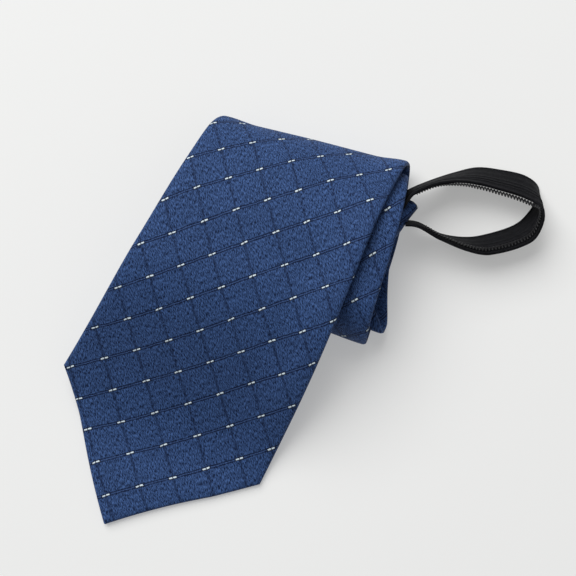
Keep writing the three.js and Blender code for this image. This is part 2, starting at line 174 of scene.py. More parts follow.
def roll_course():
    """Places, heights and runs of the cloth from the knot's mouth to the point, and named runs."""
    rows = [(KNOT_MOUTH - SEAT_DEPTH - 2 * GATHER_LENGTH, MOUTH_HEIGHT, "")]
    rows.append((KNOT_MOUTH, MOUTH_HEIGHT, "mouth"))
    rows += turn_points("inner_lower", 1, MOUTH_HEIGHT, INNER_BASE)
    rows.append((ROLL_DEPTH / 2, INNER_BASE, "inner_base"))
    rows += turn_points("inner_upper", -1, INNER_BASE, INNER_TOP)
    rows[-1] = (*rows[-1][:2], "inner_top")
    rows += turn_points("outer_lower", 1, INNER_TOP, OUTER_BASE)
    rows.append((ROLL_DEPTH / 2, OUTER_BASE, "outer_base"))
    rows += turn_points("outer_upper", -1, OUTER_BASE, OUTER_TOP)
    rows[-1] = (*rows[-1][:2], "outer_top")
    for i in range(FALL_STEPS + 1):
        share = i / FALL_STEPS
        name = "fall" if i == 0 else "landing" if i == FALL_STEPS else ""
        height = mix(OUTER_TOP, OUTER_BASE, float(smooth(share)))
        rows.append((mix(FALL_START, FALL_END, share), height, name))
    rows.append((FALL_END + BLADE_LENGTH, OUTER_BASE, ""))
    v = np.array([row[0] for row in rows])
    z = np.array([row[1] for row in rows])
    run = np.concatenate([[0.0], np.cumsum(np.hypot(np.diff(v), np.diff(z)))])
    names = [row[2] for row in rows]
    run -= run[names.index("mouth")]
    at = {name: run[i] for i, name in enumerate(names) if name}
    at["point"] = BLADE_LENGTH
    return v, z, run, at


COURSE_V, COURSE_Z, COURSE_RUN, RUN_AT = roll_course()
LEAN_RUN = np.array([RUN_AT[name] for name, _ in LEANS])
LEAN_ANGLE = np.radians([lean for _, lean in LEANS])


def course_normals():
    tangents = np.stack([np.gradient(COURSE_V, COURSE_RUN), np.gradient(COURSE_Z, COURSE_RUN)])
    tangents /= np.linalg.norm(tangents, axis=0)
    return -tangents[1], tangents[0]


NORMAL_V, NORMAL_Z = course_normals()
STRIDE = 0.5
LINE_SPARE = 12.0


def centre_line():
    """Where the middle of the strip lies at each step along it: across the roll and by run."""
    back = SEAT_DEPTH + GATHER_LENGTH
    along = np.arange(-back, BLADE_LENGTH + LINE_SPARE, STRIDE)
    q = np.empty_like(along)
    run = np.empty_like(along)
    q[0] = MOUTH_CENTRE + back * math.tan(LEAN_ANGLE[0])
    run[0] = -back
    for i in range(1, len(along)):
        lean = np.interp(run[i - 1], LEAN_RUN, LEAN_ANGLE)
        q[i] = q[i - 1] - STRIDE * math.sin(lean)
        run[i] = run[i - 1] + STRIDE * math.cos(lean)
    return along, q, run, np.interp(run, LEAN_RUN, LEAN_ANGLE)


LINE_ALONG, LINE_Q, LINE_RUN, LINE_LEAN = centre_line()


def strip_width(along):
    gather = mix(MOUTH_WIDTH, NECK_WIDTH, smooth(along / GATHER_LENGTH))
    share = np.clip((along - GATHER_LENGTH) / (SHOULDER - GATHER_LENGTH), 0, 1)
    body = mix(NECK_WIDTH, BLADE_WIDTH, share ** BLADE_FLARE)
    point = BLADE_WIDTH * (BLADE_LENGTH - along) / POINT_LENGTH
    return np.where(along <= GATHER_LENGTH, gather, np.where(along <= SHOULDER, body, point))


def roll_point(q, v, z):
    """From the roll's own frame, along it, down it and up, to the row frame in metres."""
    x = q * math.cos(ROLL_TURN) + v * math.sin(ROLL_TURN) + PLACE[0]
    y = q * math.sin(ROLL_TURN) - v * math.cos(ROLL_TURN) + PLACE[1]
    return np.stack([x, y, z], -1) * MM


# How the cloth lies softly on that course, in millimetres. First the two ends of the top turn
FLARE = 1.3
FLARE_WIDTH = 12.0
FLARE_RUN = 12.0
TOP_BULGE = 0.7
BULGE_FROM = 60.0
BULGE_RUN = 40.0
CORNER_SPREAD = 0.9
# The point reaches a little further than the course says
REACH_FROM = 180.0
REACH_MORE = 1.7
REACH_SKEW = 0.016
TOP_SHIFT = 0.8
SHIFT_FROM = 230.0
SHIFT_RUN = 40.0
# The outer layer's right edge lifts off between the top turn and the table
EDGE_LIFT = 2.0
LIFT_IN = 30.0
LIFT_OUT = 40.0
# The corners of the two lower turns
FOLD_SHIFT = 1.8
FOLD_SHIFT_RUN = 12.0
FOLD_DROP = 1.1
FOLD_DROP_RUN = 4.0
LOWER_DROP = 0.7
LOWER_DROP_RUN = 8.0
# Low waves of the top layer, and the pleats where the strip goes into the knot
RIPPLE = 0.22
RIPPLE_ALONG = 17.0
RIPPLE_START = 0.8
RIPPLE_ACROSS = 12.5
RIPPLE_SLANT = 41.0
PLEATS = 3
PLEAT_DEPTH = 0.45


def at_top_turn(run):
    return bump_at(run, RUN_AT["outer_upper"] + FLARE_RUN / 2, FLARE_RUN)


def right_edge(across, half):
    return smooth(2 * across / half - 1)


def soft_offset(along, across, half, q, run):
    """How far the cloth stands off its course: the flared turn, the lifted edge and the waves."""
    near_edge = smooth((np.abs(across) - half + FLARE_WIDTH) / FLARE_WIDTH)
    bulge = TOP_BULGE * smooth((BULGE_FROM - q) / BULGE_RUN)
    begins = smooth((run - RUN_AT["outer_top"] + LIFT_IN) / LIFT_IN)
    ends = smooth((RUN_AT["landing"] - run) / LIFT_OUT)
    lift = EDGE_LIFT * begins * ends * right_edge(across, half)
    on_top = smooth((run - RUN_AT["outer_top"] + FLARE_WIDTH) / FLARE_WIDTH)
    waves = np.sin(along / RIPPLE_ALONG + RIPPLE_START)
    waves = waves * np.sin(across / RIPPLE_ACROSS + along / RIPPLE_SLANT)
    ripple = RIPPLE * on_top * waves * smooth((BLADE_LENGTH - along) / POINT_LENGTH)
    return (FLARE * near_edge + bulge) * at_top_turn(run) + lift + ripple


def soft_shift(along, across, half, run):
    """How far the cloth is pushed along the roll."""
    top = TOP_SHIFT * smooth((along - SHIFT_FROM) / SHIFT_RUN)
    fold = bump_at(run, RUN_AT["inner_lower"], FOLD_SHIFT_RUN) * right_edge(across, half)
    corner = at_top_turn(run) * smooth(-across / half) ** 2
    return top + FOLD_SHIFT * fold - CORNER_SPREAD * corner


def soft_drop(across, half, q, run, v):
    """How far the lower turns are pushed down the roll."""
    slide = smooth((v / ROLL_DEPTH - SKEW_START) / (1 - SKEW_START))
    skew = LOWER_SKEW * (q - KNOT_RIGHT) * slide * smooth(run / RUN_AT["inner_lower"])
    skew = np.where(run > RUN_AT["outer_upper"], 0.0, skew)
    fold = bump_at(run, RUN_AT["inner_lower"], FOLD_DROP_RUN) * right_edge(across, half)
    lower = bump_at(run, RUN_AT["outer_lower"], LOWER_DROP_RUN)
    return skew + FOLD_DROP * fold + LOWER_DROP * lower


def pleat_depth(along, across, half):
    gathered = smooth(1 - along / (2 * GATHER_LENGTH))
    return PLEAT_DEPTH * gathered * np.sin(np.clip(across / half, -1, 1) * math.pi * PLEATS)


def on_strip(along, across, offset):
    """Points of the strip: along and across it, and how far off its middle, toward its face."""
    half = strip_width(along) / 2
    further = smooth((along - REACH_FROM) / (SHOULDER - REACH_FROM))
    along = along + (REACH_MORE + REACH_SKEW * across) * further
    lean = np.interp(along, LINE_ALONG, LINE_LEAN)
    q = np.interp(along, LINE_ALONG, LINE_Q) + across * np.cos(lean)
    run = np.interp(along, LINE_ALONG, LINE_RUN) + across * np.sin(lean)
    offset = offset + soft_offset(along, across, half, q, run)
    offset = offset - pleat_depth(along, across, half) * (offset < 0)
    q = q + soft_shift(along, across, half, run)
    v = np.interp(run, COURSE_RUN, COURSE_V) + offset * np.interp(run, COURSE_RUN, NORMAL_V)
    z = np.interp(run, COURSE_RUN, COURSE_Z) + offset * np.interp(run, COURSE_RUN, NORMAL_Z)
    return roll_point(q, v + soft_drop(across, half, q, run, v), z)


def weave_at(along, cloth_across, across):
    """Where points of the cloth lie in the check, along its rows and its columns, in millimetres."""
    check = np.array(CHECK)
    middle, step, lean = (np.interp(along, check[:, 0], check[:, k]) for k in (2, 3, 4))
    column = (cloth_across - middle) / step
    row = np.interp(along - lean * cloth_across, check[:, 0], check[:, 1])
    half = CHECK_PITCH / 2
    return np.stack([(column - row) * half, (column + row) * half, across], -1)


def add_object(name, vertices, faces, weave=None):
    mesh = bpy.data.meshes.new(name)
    mesh.from_pydata([tuple(p) for p in vertices], [], [tuple(f) for f in faces])
    mesh.update()
    if weave is not None:
        layer = mesh.attributes.new("weave", "FLOAT_VECTOR", "POINT")
        layer.data.foreach_set("vector", np.asarray(weave, np.float32).ravel())
    mesh.shade_smooth()
    piece = bpy.data.objects.new(name, mesh)
    bpy.context.scene.collection.objects.link(piece)
    return piece


def ring_faces(rings, sides):
    """Faces of a run of rings of points, closed by one face at each end."""
    faces = []
    for r in range(rings - 1):
        for i in range(sides):
            a = r * sides + i
            b = r * sides + (i + 1) % sides
            faces.append((a, a + sides, b + sides, b))
    faces.append(tuple(range(sides)))
    faces.append(tuple(reversed(range((rings - 1) * sides, rings * sides))))
    return faces


def both_sides(front, rear):
    """One closed ring from a section's front and rear points, which meet at both ends."""
    return np.concatenate([front, rear[::-1][1:-1]])


# The blade
ROW_STEP = 1.0
ROWS_END = 0.2
POINT_ROWS = (0.6, 0.25)  # rows this near to the point
COLUMNS = 36
HEM_STEPS = 6
HEM_LIMIT = 0.9
PILLOW = 0.35
PILLOW_WIDTH = 2.4
SEAM_DEPTH = 0.55
SEAM_WIDTH = 0.7
FLAP_STEP = 0.35
THINNEST = 0.2


def blade_section(half):
    """A cut across the strip: places across, height there, and places measured round the hem."""
    bend = min(HALF_CLOTH, half * HEM_LIMIT)
    angle = np.linspace(0, math.pi / 2, HEM_STEPS)
    flat = np.linspace(-1, 1, COLUMNS + 1)[1:-1] * (half - bend)
    left = -half + bend * (1 - np.cos(angle))
    across = np.concatenate([left, flat, -left[::-1]])
    rise = np.sin(angle)
    height = np.concatenate([rise, np.ones(len(flat)), rise[::-1]]) * bend
    height = height * (1 - PILLOW * np.exp((np.abs(across) - half) / PILLOW_WIDTH))
    round_hem = -(half - bend) - bend * (math.pi / 2 - angle)
    return across, height, np.concatenate([round_hem, flat, -round_hem[::-1]])


def back_seam(across, half):
    """How far the back is pressed in: the seam down its middle and the step of the flap over it."""
    flap = (across > 0) * smooth((half - np.abs(across)) / BLADE_THICKNESS)
    return SEAM_DEPTH * bump_at(across, 0, SEAM_WIDTH) + FLAP_STEP * flap


def blade_piece():
    rows = np.arange(-SEAT_DEPTH, BLADE_LENGTH - ROWS_END, ROW_STEP)
    rows = np.sort(np.append(rows, [SHOULDER, *(BLADE_LENGTH - near for near in POINT_ROWS)]))
    points = []
    weave = []
    for along in rows:
        half = float(strip_width(along)) / 2
        across, height, cloth = blade_section(half)
        depth = np.maximum(height - back_seam(across, half), THINNEST * height)
        here = np.full_like(across, along)
        points.append(both_sides(on_strip(here, across, height), on_strip(here, across, -depth)))
        behind = np.sign(across) * (-2 * cloth[0] - np.abs(cloth))
        weave.append(both_sides(weave_at(along, cloth, across), weave_at(along, behind, across)))
    faces = ring_faces(len(points), len(points[0]))
    return add_object("tie_blade", np.concatenate(points), faces, np.concatenate(weave))


# The knot
KNOT_RINGS = 46
KNOT_SIDES = 72
KNOT_ROUNDNESS = 0.66
KNOT_TRIM = 0.25
CORNER_UP = 0.9
CORNER_OUT = 0.6
# Two folds down its face: where each starts and ends, as shares of the width, and its depth
KNOT_FOLDS = ((-0.42, 0.3, 0.7), (0.5, 0.12, 0.4))
FOLD_WIDTH = 1.1
FOLD_END = 8.0
WEAVE_LEAN = (0.8, 0.6)  # cosine and sine of the cloth's turn on the knot
# Places along the knot and sizes of the rings that round off its two ends
KNOT_START = ((0.06, 0.7), (0.02, 0.9))
KNOT_FINISH = ((1.0, 0.93), (0.985, 0.84), (0.95, 0.78), (0.9, 0.74))


def squared(wave):
    return np.sign(wave) * np.abs(wave) ** KNOT_ROUNDNESS


def knot_ring(share, size):
    table = np.array(KNOT_SECTIONS)
    wide, high, shift = (np.interp(share, table[:, 0], table[:, k]) for k in (1, 2, 3))
    width = wide * KNOT_WIDTH - 2 * KNOT_TRIM
    height = high * KNOT_THICKNESS - 2 * KNOT_TRIM
    angle = (np.arange(KNOT_SIDES) + 0.5) / KNOT_SIDES * 2 * math.pi
    up = squared(np.sin(angle))
    q = squared(np.cos(angle)) * width / 2 * size
    folds = sum(
        depth * bump_at(q - mix(start, end, share) * width, 0, FOLD_WIDTH)
        for start, end, depth in KNOT_FOLDS
    )
    z = up * height / 2 * size - folds * smooth(up) * smooth((1 - share) * FOLD_END)
    z = z + KNOT_BASE + high * KNOT_THICKNESS / 2
    corner = (1 - share) ** 2
    centre = mix(KNOT_CENTRE, MOUTH_CENTRE, shift) + CORNER_OUT * corner
    v = share * KNOT_LENGTH - CORNER_UP * corner
    points = roll_point(centre + q, KNOT_INSET + np.full_like(q, v), z)
    girth = np.arctan2(z - KNOT_BASE - KNOT_THICKNESS / 3, q) * KNOT_WIDTH / 2
    lean, turn = WEAVE_LEAN
    return points, np.stack([v * lean + girth * turn, girth * lean - v * turn, q], -1)


def knot_piece():
    middle = [(share, 1.0) for share in np.linspace(0, 1, KNOT_RINGS)]
    rings = [knot_ring(share, size) for share, size in (*KNOT_START, *middle, *KNOT_FINISH)]
    points, weave = (np.concatenate(part) for part in zip(*rings))
    return add_object("tie_knot", points, ring_faces(len(rings), KNOT_SIDES), weave)


# The neckband
def catmull(points, t):
    """A centripetal curve through the points, at t from 0 to 1."""
    count = len(points)
    place = (count - 1) * min(max(t, 0.0), 1.0)
    i = min(int(place), count - 2)
    weight = place - i
    p1, p2 = points[i], points[i + 1]
    p0 = points[i - 1] if i > 0 else 2 * points[0] - points[1]
    p3 = points[i + 2] if i + 2 < count else 2 * points[-1] - points[-2]
    spans = ((p0, p1), (p1, p2), (p2, p3))
    d0, d1, d2 = (max(np.sum((b - a) ** 2) ** 0.25, 1e-4) for a, b in spans)
    t1 = ((p1 - p0) / d0 - (p2 - p0) / (d0 + d1) + (p2 - p1) / d1) * d1
    t2 = ((p2 - p1) / d1 - (p3 - p1) / (d1 + d2) + (p3 - p2) / d2) * d1
    c2 = -3 * p1 + 3 * p2 - 2 * t1 - t2
    c3 = 2 * p1 - 2 * p2 + t1 + t2
    return p1 + t1 * weight + c2 * weight ** 2 + c3 * weight ** 3


BAND_STEPS = 300
FINE_STEPS = 1200
AHEAD = 0.001
# The tape leans further over at the loop's end
END_DRIFT = 0.26
END_PLACE = 0.63
END_SPREAD = 0.1


def band_section(route, falls, t):
    """The tape's lower edge at t, the way up its width and its outward side, in millimetres."""
    foot = catmull(route, t)
    ahead = catmull(route, t + AHEAD) - catmull(route, t - AHEAD)
    ahead /= np.linalg.norm(ahead)
    level = ahead[:2] / np.linalg.norm(ahead[:2])
    fall = catmull(falls, t)[0]
    lean = FALL_DRIFT + END_DRIFT * bump_at(t, END_PLACE, END_SPREAD)
    drift = roll_point(lean, 1.0, 0.0) / MM - (*PLACE, 0.0)
    drift /= np.linalg.norm(drift)
    square = fall * abs(level[0] * drift[1] - level[1] * drift[0])
    up = drift * fall
    up[2] = math.sqrt(TAPE_WIDTH ** 2 - square ** 2)
    outward = np.cross(up, ahead)
    outward /= np.linalg.norm(outward)
    foot[2] += abs(outward[2]) * TAPE_THICKNESS / 2
    return foot, up, outward


def band_course():
    """Sections of the tape at equal steps round the loop, and the loop's length."""
    table = np.array(BAND)
    route = roll_point(
        KNOT_RIGHT + table[:, 0] * LOOP_REACH,
        LOOP_CENTRE + table[:, 1] * LOOP_SPAN / 2,
        table[:, 2] * KNOT_BASE,
    ) / MM
    falls = np.stack([table[:, 3] * TAPE_WIDTH, np.arange(len(table))], -1)
    fine = np.linspace(0, 1, FINE_STEPS + 1)
    line = np.array([catmull(route, t) for t in fine])
    length = np.concatenate([[0], np.cumsum(np.linalg.norm(np.diff(line, axis=0), axis=1))])
    places = np.interp(np.arange(BAND_STEPS + 1) / BAND_STEPS * length[-1], length, fine)
    rows = [band_section(route, falls, float(t)) for t in places]
    foot, up, outward = (np.array(part) for part in zip(*rows))
    return foot, up, outward, length[-1]


BAND_FOOT, BAND_UP, BAND_OUT, BAND_LENGTH = band_course()
BAND_SHARE = np.linspace(0, 1, BAND_STEPS + 1)


def on_band(share, across, out):
    """Points of the neckband: share of the way round, share of its width, and how far out."""
    share = np.broadcast_to(share, np.shape(across))
    foot, up, outward = (
        np.stack([np.interp(share, BAND_SHARE, part[:, k]) for k in range(3)], -1)
        for part in (BAND_FOOT, BAND_UP, BAND_OUT)
    )
    outward = outward / np.linalg.norm(outward, axis=-1, keepdims=True)
    return (foot + up * np.asarray(across)[..., None] + outward * np.asarray(out)[..., None]) * MM


# Ribs of the tape: place as a share of the width, height and width in millimetres
TAPE_HALF = 0.4
TAPE_RIBS = (
    (0.03, 0.24, 0.45), (0.3, 0.1, 0.9), (0.52, 0.14, 0.25), (0.66, 0.24, 0.3), (0.78, 0.2, 0.28),
    (0.96, 0.16, 0.35),
)
TAPE_COLUMNS = 56
EDGE_CROWD = 0.35  # how much closer the columns stand at the tape's edges
EDGE_THIN = 0.02


def tape_thickness(across):
    ribs = sum(h * bump_at(across * TAPE_WIDTH, place * TAPE_WIDTH, w) for place, h, w in TAPE_RIBS)
    edge = np.clip(np.minimum(across, 1 - across) * TAPE_WIDTH / TAPE_HALF, 0, 1)
    return (TAPE_HALF + ribs) * np.sqrt(np.clip(1 - (1 - edge) ** 2, EDGE_THIN, 1))


def tape_piece():
    even = np.linspace(0, 1, TAPE_COLUMNS)
    crowded = (1 - np.cos(np.linspace(0, math.pi, TAPE_COLUMNS))) / 2
    across = mix(even, crowded, EDGE_CROWD)
    thick = tape_thickness(across)
    points = []
    weave = []
    for share in np.linspace(1 / TAPE_STEPS, 1 - 1 / TAPE_STEPS, BAND_STEPS):
        points.append(both_sides(on_band(share, across, thick), on_band(share, across, -thick)))
        along = np.full_like(across, share * BAND_LENGTH)
        front = np.stack([along, across * TAPE_WIDTH, np.ones_like(across)], -1)
        weave.append(both_sides(front, front * (1, 1, -1)))
    faces = ring_faces(len(points), len(points[0]))
    return add_object("neckband_tape", np.concatenate(points), faces, np.concatenate(weave))


ASIDE = np.array([0.13, 0.29, 0.95])


def tube_points(path, radius, sides):
    """Rings of points round a path."""
    tangent = np.gradient(path, axis=0)
    tangent /= np.linalg.norm(tangent, axis=1, keepdims=True)
    side = np.cross(tangent, np.roll(tangent, 1, axis=0) * 0.5 + ASIDE)
    side /= np.linalg.norm(side, axis=1, keepdims=True)
    other = np.cross(tangent, side)
    angle = (np.arange(sides) / sides * 2 * math.pi)[None, :, None]
    ring = np.cos(angle) * side[:, None] + np.sin(angle) * other[:, None]
    return (path[:, None] + radius * ring).reshape(-1, 3)


def add_tubes(name, paths, radius, sides):
    """One object of round threads, one along each path, with closed ends."""
    points = np.concatenate([tube_points(path, radius * MM, sides) for path in paths])
    faces = []
    start = 0
    for path in paths:
        faces += [tuple(i + start for i in face) for face in ring_faces(len(path), sides)]
        start += len(path) * sides
    return add_object(name, points, faces)


# The coil: one filament wound round and round along the tape's upper edge, on its inner face
TEETH = round((COIL_END - COIL_START) * BAND_LENGTH / TOOTH_PITCH)
TOOTH_ROOT = TAPE_WIDTH - (TOOTH_LENGTH - TOOTH_PROUD)
FILAMENT = 0.26
TURN_STEPS = 14
FILAMENT_SIDES = 7
COIL_RISE = 0.38
COIL_HEIGHT = 0.95
HEAD_HOLD = 0.78
TOOTH_SQUARE = 0.7
# How far the coil stands from its place across the tape: out past the edge on the far side, where
# its teeth show, and back from it on the near side and at its start, where they don't
COIL_OUT = 0.95
COIL_BACK = 1.6
START_BACK = 1.5
START_SHARE = 0.1
SHOWN_FROM = (0.16, 0.25)
SHOWN_TO = (0.46, 0.56)


def coil_shift(share):
    begins, ends = (smooth((share - a) / (b - a)) for a, b in (SHOWN_FROM, SHOWN_TO))
    hidden = START_BACK * smooth(1 - (share - COIL_START) / START_SHARE)
    return mix(-COIL_BACK, COIL_OUT, begins * (1 - ends)) - hidden


def coil_piece():
    theta = np.arange(TEETH * TURN_STEPS + 1) / TURN_STEPS * 2 * math.pi
    turn = np.floor(theta / (2 * math.pi))
    within = theta - turn * 2 * math.pi
    wound = turn + (within - HEAD_HOLD * np.sin(within)) / (2 * math.pi)
    share = COIL_START + (COIL_END - COIL_START) * wound / TEETH
    reach = np.sign(np.cos(theta)) * np.abs(np.cos(theta)) ** TOOTH_SQUARE
    middle = TOOTH_ROOT + TOOTH_LENGTH / 2
    across = (middle + coil_shift(share) + reach * (TOOTH_LENGTH / 2 - FILAMENT)) / TAPE_WIDTH
    out = -COIL_RISE - COIL_HEIGHT / 2 + np.sin(theta) * (COIL_HEIGHT / 2 - FILAMENT)
    return add_tubes("neckband_coil", [on_band(share, across, out)], FILAMENT, FILAMENT_SIDES)


# The two rows of thread that sew the coil to the tape, a small loop over each turn
THREAD = 0.11
THREAD_SIDES = 5
THREAD_ROWS = (0.25, 0.62)
THREAD_STEPS = 6
THREAD_PROUD = 0.6
THREAD_WAVE = 0.45


def thread_path(row):
    steps = np.arange(TEETH * THREAD_STEPS + 1) / THREAD_STEPS
    share = COIL_START + (COIL_END - COIL_START) * steps / TEETH
    across = TOOTH_ROOT + coil_shift(share) + row * (TOOTH_LENGTH - TOOTH_PROUD)
    over = COIL_RISE + COIL_HEIGHT + THREAD * THREAD_PROUD
    wave = 1 - THREAD_WAVE + THREAD_WAVE * np.cos(steps * 2 * math.pi)
    return on_band(share, across / TAPE_WIDTH, -mix(COIL_RISE, over, wave))


def stitch_piece():
    paths = [thread_path(row) for row in THREAD_ROWS]
    return add_tubes("neckband_stitching", paths, THREAD, THREAD_SIDES)


# Slip stitches down the seam on the blade's back
SLIP_PITCH = 9.0
SLIP_LENGTH = 3.2
SLIP_WIDTH = 0.9
SLIP_START = 30.0
SLIP_END = 318.0
SLIP_SUNK = 0.34
SLIP_DIP = 0.35
SLIP_POINTS = 7
SLIP_THREAD = 0.16
SLIP_SIDES = 6


def slip_stitches():
    t = np.linspace(0, 1, SLIP_POINTS)
    across = mix(-SLIP_WIDTH, SLIP_WIDTH, t)
    depth = -(HALF_CLOTH - SLIP_SUNK) + SLIP_DIP * (2 * t - 1) ** 2
    starts = np.arange(SLIP_START, SLIP_END, SLIP_PITCH)
    paths = [on_strip(start + t * SLIP_LENGTH, across, depth) for start in starts]
    return add_tubes("blade_stitching", paths, SLIP_THREAD, SLIP_SIDES)


# Materials
class Nodes:
    """Small helper that adds and links shader nodes."""

    def __init__(self, name):
        self.material = bpy.data.materials.new(name)
        self.material.use_nodes = True
        self.tree = self.material.node_tree
        self.shader = self.tree.nodes["Principled BSDF"]

    def put(self, socket, value):
        if isinstance(value, bpy.types.NodeSocket):
            self.tree.links.new(value, socket)
        else:
            socket.default_value = value

    def add(self, kind, values=None, **settings):
        made = self.tree.nodes.new(kind)
        for key, value in settings.items():
            setattr(made, key, value)
        for key, value in (values or {}).items():
            self.put(made.inputs[key], value)
        return made

    def math(self, operation, first, second=0.0, third=0.0):
        made = self.add("ShaderNodeMath", {0: first, 1: second, 2: third}, operation=operation)
        return made.outputs[0]

    def step(self, value, low, high, to_low=0.0, to_high=1.0):
        made = self.add(
            "ShaderNodeMapRange",
            {"Value": value, "From Min": low, "From Max": high, "To Min": to_low, "To Max": to_high},
            interpolation_type="SMOOTHSTEP",
        )
        return made.outputs[0]

    def band(self, value, edge):
        """1 where the value is under the edge, 0 past it."""
        return self.step(value, *edge, 1.0, 0.0)

    def blend(self, share, first, second, mode="MIX"):
        values = {0: share, 6: first, 7: second}
        return self.add("ShaderNodeMix", values, data_type="RGBA", blend_type=mode).outputs[2]

    def scaled(self, vector, scale):
        made = self.add("ShaderNodeVectorMath", {0: vector, 1: scale}, operation="MULTIPLY")
        return made.outputs[0]

    def noise(self, vector, scale, detail=2.0, roughness=0.5):
        made = self.add(
            "ShaderNodeTexNoise",
            {"Vector": vector, "Scale": scale, "Detail": detail, "Roughness": roughness},
        )
        return made.outputs[0]

    def weave(self):
        weave = self.add("ShaderNodeAttribute", attribute_name="weave").outputs["Vector"]
        parts = self.add("ShaderNodeSeparateXYZ", {0: weave})
        return weave, parts.outputs[0], parts.outputs[1]

    def bump(self, height, strength, distance):
        made = self.add(
            "ShaderNodeBump", {"Strength": strength, "Distance": distance, "Height": height}
        )
        self.surface({"Normal": made.outputs[0]})

    def surface(self, values):
        for name, value in values.items():
            self.put(self.shader.inputs[name], value)


def srgb(red, green, blue):
    def linear(value):
        share = value / 255
        return share / 12.92 if share <= 0.04045 else ((share + 0.055) / 1.055) ** 2.4
    return (linear(red), linear(green), linear(blue), 1.0)


GROUND_DARK = srgb(9, 24, 54)
GROUND_LIGHT = srgb(72, 103, 158)
LINE_DARK = srgb(10, 22, 52)
LINE_LIGHT = srgb(72, 96, 144)
DASH_WHITE = srgb(232, 247, 255)
# Places and soft edges of the check, in millimetres off the middle of its lines
WANDER = 0.5
ROW_SPREAD = 0.36
ROW_EDGE = (0.12, 0.26)
CORE_EDGE = (0.08, 0.26)
COLUMN_EDGE = (0.15, 0.7)
DASH_PLACE = 0.68
DASH_LENGTH_EDGE = (0.43, 0.63)
DASH_WIDTH_EDGE = (0.18, 0.34)
DASH_TILT = 0.06
HALO_LENGTH_EDGE = (1.45, 1.9)
HALO_WIDTH_EDGE = (0.35, 0.75)
# The weave: how fast each noise runs over it
GRAIN_SCALE = (4.4, 0.75, 0.0)
THREAD_SCALE = (6.5, 1.3, 0.0)
GRAIN_SHARE = 0.62
GRAIN_RANGE = (0.39, 0.61)
CLOUD_SCALE = 0.09
BROKEN_SCALE = 0.8


def check_cell(n, weave, u, v):
    """Signed distances to the nearest column and row of the check, on lines that wander a little."""
    wander = n.math("MULTIPLY_ADD", n.noise(weave, 0.35, 1.0), WANDER, -WANDER / 2)
    half = CHECK_PITCH / 2
    return [n.math("WRAP", n.math("ADD", way, wander), half, -half) for way in (u, v)]


def cloth_ground(n, weave):
    """The blue of the weave, dark and light threads in soft clouds, and its shade from 0 to 1."""
    grain = n.noise(n.scaled(weave, GRAIN_SCALE), 1.0, 2.0, 0.5)
    threads = n.noise(n.scaled(weave, THREAD_SCALE), 1.0, 1.0, 0.5)
    threads = n.math("MULTIPLY", threads, 1 - GRAIN_SHARE)
    shade = n.step(n.math("MULTIPLY_ADD", grain, GRAIN_SHARE, threads), *GRAIN_RANGE)
    colour = n.blend(shade, GROUND_DARK, GROUND_LIGHT)
    cloudy = n.math("MULTIPLY_ADD", n.noise(weave, CLOUD_SCALE, 2.0), 0.3, 0.85)
    tone = n.add("ShaderNodeCombineColor", {0: cloudy, 1: cloudy, 2: cloudy}).outputs[0]
    return n.blend(1.0, colour, tone, "MULTIPLY"), shade


def check_lines(n, weave, far_u, far_v):
    """The check's lines: a pair of dark lines along each row, and one faint line down each column."""
    off_line = n.math("ABSOLUTE", n.math("SUBTRACT", far_v, ROW_SPREAD))
    broken = n.step(n.noise(weave, BROKEN_SCALE, 2.0), 0.36, 0.62)
    columns = n.math("MULTIPLY", n.band(far_u, COLUMN_EDGE), n.math("MULTIPLY_ADD", broken, 0.5, 0.45))
    rows = n.math("MULTIPLY", n.band(off_line, ROW_EDGE), n.math("MULTIPLY_ADD", broken, 0.3, 0.65))
    return rows, columns, n.band(far_v, CORE_EDGE)


def check_dashes(n, cell_u, cell_v, far_u):
    """The two white dashes at each crossing, and the dark patch round them."""
    tilted = n.math("ABSOLUTE", n.math("MULTIPLY_ADD", cell_u, DASH_TILT, cell_v))
    beside = n.math("ABSOLUTE", n.math("SUBTRACT", far_u, DASH_PLACE))
    dash = n.math("MULTIPLY", n.band(beside, DASH_LENGTH_EDGE), n.band(tilted, DASH_WIDTH_EDGE))
    halo = n.math("MULTIPLY", n.band(far_u, HALO_LENGTH_EDGE), n.band(tilted, HALO_WIDTH_EDGE))
    return dash, halo


def tie_cloth():
    n = Nodes("tie_cloth")
    weave, u, v = n.weave()
    cell_u, cell_v = check_cell(n, weave, u, v)
    far_u, far_v = n.math("ABSOLUTE", cell_u), n.math("ABSOLUTE", cell_v)
    colour, shade = cloth_ground(n, weave)
    rows, columns, core = check_lines(n, weave, far_u, far_v)
    dash, halo = check_dashes(n, cell_u, cell_v, far_u)
    colour = n.blend(n.math("MULTIPLY", columns, 0.65), colour, LINE_DARK)
    colour = n.blend(n.math("MULTIPLY", core, 0.35), colour, LINE_LIGHT)
    colour = n.blend(rows, colour, LINE_DARK)
    colour = n.blend(n.math("MULTIPLY", halo, 0.75), colour, LINE_DARK)
    height = n.math("MULTIPLY_ADD", shade, 0.5, n.math("MULTIPLY", dash, 1.1))
    height = n.math("SUBTRACT", height, n.math("MULTIPLY", rows, 0.5))
    height = n.math("SUBTRACT", height, n.math("MULTIPLY", columns, 0.3))
    n.bump(height, 0.8, 0.00016)
    n.surface({
        "Base Color": n.blend(dash, colour, DASH_WHITE),
        "Roughness": n.step(shade, 0.0, 1.0, 0.74, 0.56),
        "Sheen Weight": 0.02,
        "Sheen Roughness": 0.45,
        "Sheen Tint": (0.62, 0.72, 1.0, 1.0),
        "Specular IOR Level": 0.12,
    })
    return n.material


# The tape's weave, in millimetres
RIB_PITCH = 0.62
TWILL_PITCH = 0.55
TWILL_WAVE = 1.3
FIBRE_SCALE = (0.5, 3.2, 1.0)
SEAM_PLACE = 9.3
SEAM_EDGE = (0.1, 0.3)


